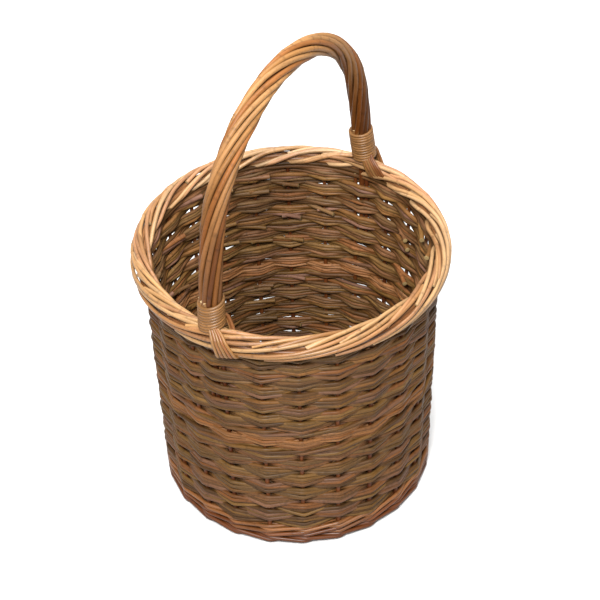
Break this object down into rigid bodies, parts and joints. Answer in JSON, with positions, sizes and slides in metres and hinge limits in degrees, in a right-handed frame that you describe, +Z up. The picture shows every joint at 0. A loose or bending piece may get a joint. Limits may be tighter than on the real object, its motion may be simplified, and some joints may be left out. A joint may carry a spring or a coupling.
{
  "type": "egg collection basket",
  "caption": "Round, slightly tapering willow basket for collecting eggs, slewed in unpeeled rods, with buff waling and border and a fixed roped bow handle.",
  "frame": {"origin": "centre of the base on the ground plane", "axes": "+Z up; the handle stands in the XZ plane with its feet on -X and +X"},
  "size_m": [0.3044, 0.3, 0.487],
  "materials": {
    "buff_willow": "satin",
    "unpeeled_willow": "satin",
    "stake_willow": "satin",
    "band_willow": "satin",
    "stick_willow": "satin",
    "bow_willow": "satin"
  },
  "bodies": {
    "root": {"base_stick_pierced_1": "stick_willow", "base_stick_pierced_2": "stick_willow", "base_stick_pierced_3": "stick_willow", "base_stick_through_1": "stick_willow", "base_stick_through_2": "stick_willow", "base_stick_through_3": "stick_willow", "base_weave": "unpeeled_willow", "stake_01": "stake_willow", "stake_02": "stake_willow", "stake_03": "stake_willow", "stake_04": "stake_willow", "stake_05": "stake_willow", "stake_06": "stake_willow", "stake_07": "stake_willow", "stake_08": "stake_willow", "stake_09": "stake_willow", "stake_10": "stake_willow", "stake_11": "stake_willow", "stake_12": "stake_willow", "stake_13": "stake_willow", "stake_14": "stake_willow", "stake_15": "stake_willow", "stake_16": "stake_willow", "stake_17": "stake_willow", "stake_18": "stake_willow", "stake_19": "stake_willow", "stake_20": "stake_willow", "stake_21": "stake_willow", "stake_22": "stake_willow", "stake_23": "stake_willow", "stake_24": "stake_willow", "upsett_wale": "buff_willow", "middle_wale": "band_willow", "slew_row_01": "unpeeled_willow", "slew_row_02": "unpeeled_willow", "slew_row_03": "unpeeled_willow", "slew_row_04": "unpeeled_willow", "slew_row_05": "unpeeled_willow", "slew_row_06": "unpeeled_willow", "slew_row_07": "unpeeled_willow", "slew_row_08": "unpeeled_willow", "slew_row_09": "unpeeled_willow", "slew_row_10": "unpeeled_willow", "slew_row_11": "unpeeled_willow", "slew_row_12": "unpeeled_willow", "slew_row_13": "unpeeled_willow", "slew_row_14": "unpeeled_willow", "slew_row_15": "unpeeled_willow", "slew_row_16": "unpeeled_willow", "slew_row_17": "unpeeled_willow", "slew_row_18": "unpeeled_willow", "slew_row_19": "unpeeled_willow", "slew_row_20": "unpeeled_willow", "border": "buff_willow", "handle_bow": "bow_willow", "handle_rope": "buff_willow", "collar_left": "buff_willow", "collar_right": "buff_willow", "strap_left": "buff_willow", "strap_right": "buff_willow"}
  },
  "joints": []
}
